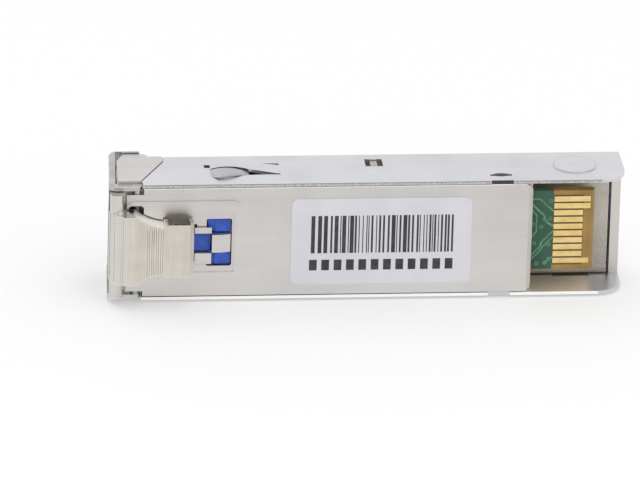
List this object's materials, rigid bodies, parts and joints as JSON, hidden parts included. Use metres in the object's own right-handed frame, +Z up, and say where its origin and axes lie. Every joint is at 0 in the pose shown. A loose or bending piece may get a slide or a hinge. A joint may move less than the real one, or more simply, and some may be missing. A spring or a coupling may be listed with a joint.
{
  "type": "sfp transceiver",
  "caption": "Slim metal pluggable optical transceiver with twin fibre ports, a pull-down bail latch, a sheet cover and a gold-fingered card edge.",
  "frame": {"origin": "middle of the part's box at the level it stands on, lying on one long side", "axes": "+X from the bail to the card edge, +Y from the module's bottom face to its top, +Z up, across the module's width"},
  "size_m": [0.0562, 0.0118, 0.014],
  "materials": {
    "nickel_casting": "satin nickel plate",
    "bare_casting": "grainy casting",
    "nickel_sheet": "satin nickel plate",
    "bail_metal": "satin nickel plate",
    "steel_pin": "drawn",
    "lever_metal": "polished nickel plate",
    "blue_plastic": "moulded",
    "circuit_card": "solder mask",
    "gold_contact": "hard gold plate",
    "optical_barrel": "turned",
    "white_ceramic": "ground",
    "can_metal": "gold flash",
    "amber_film": "polyimide film",
    "black_plastic": "moulded",
    "chip_black": "moulded",
    "capacitor_tan": "fired",
    "grey_pad": "soft",
    "label_paper": "satin film"
  },
  "bodies": {
    "housing": {"base_housing": "nickel_casting", "upper_carrier": "bare_casting", "cover_sleeve": "nickel_sheet", "lever_axle": "steel_pin", "rocker_axle": "steel_pin", "pcb": "circuit_card", "edge_contacts_bottom": "gold_contact", "edge_contacts_top": "gold_contact", "tosa_receptacle": "optical_barrel", "rosa_receptacle": "optical_barrel", "tosa_sleeve": "white_ceramic", "rosa_sleeve": "white_ceramic", "tosa_can": "can_metal", "rosa_can": "can_metal", "tosa_flex": "amber_film", "rosa_flex": "amber_film", "osa_clamp": "black_plastic", "driver_chip": "chip_black", "controller_chip": "chip_black", "card_capacitors": "capacitor_tan", "thermal_pad": "grey_pad", "label": "label_paper"},
    "bail_loop": {"bail": "bail_metal", "bail_cam_rod": "steel_pin"},
    "lever": {"latch_lever": "lever_metal"},
    "rocker": {"release_rocker": "blue_plastic"}
  },
  "joints": [
    {"name": "bail_hinge", "type": "hinge", "parent": "housing", "child": "bail_loop", "pos_m": [-0.02501, -0.00283, 0.007], "axis": [0, 0, 1], "range_deg": [0, 90]},
    {"name": "lever_rock", "type": "hinge", "parent": "housing", "child": "lever", "pos_m": [-0.02121, -0.00281, 0.007], "axis": [0, 0, 1], "range_deg": [0, 8]},
    {"name": "rocker_rock", "type": "hinge", "parent": "housing", "child": "rocker", "pos_m": [-0.01801, -0.00259, 0.007], "axis": [0, 0, 1], "range_deg": [-16, 0]}
  ],
  "couplings": [
    {"joint": "lever_rock", "follows": "bail_hinge", "ratio": 0.0888},
    {"joint": "rocker_rock", "follows": "bail_hinge", "ratio": -0.1777}
  ]
}
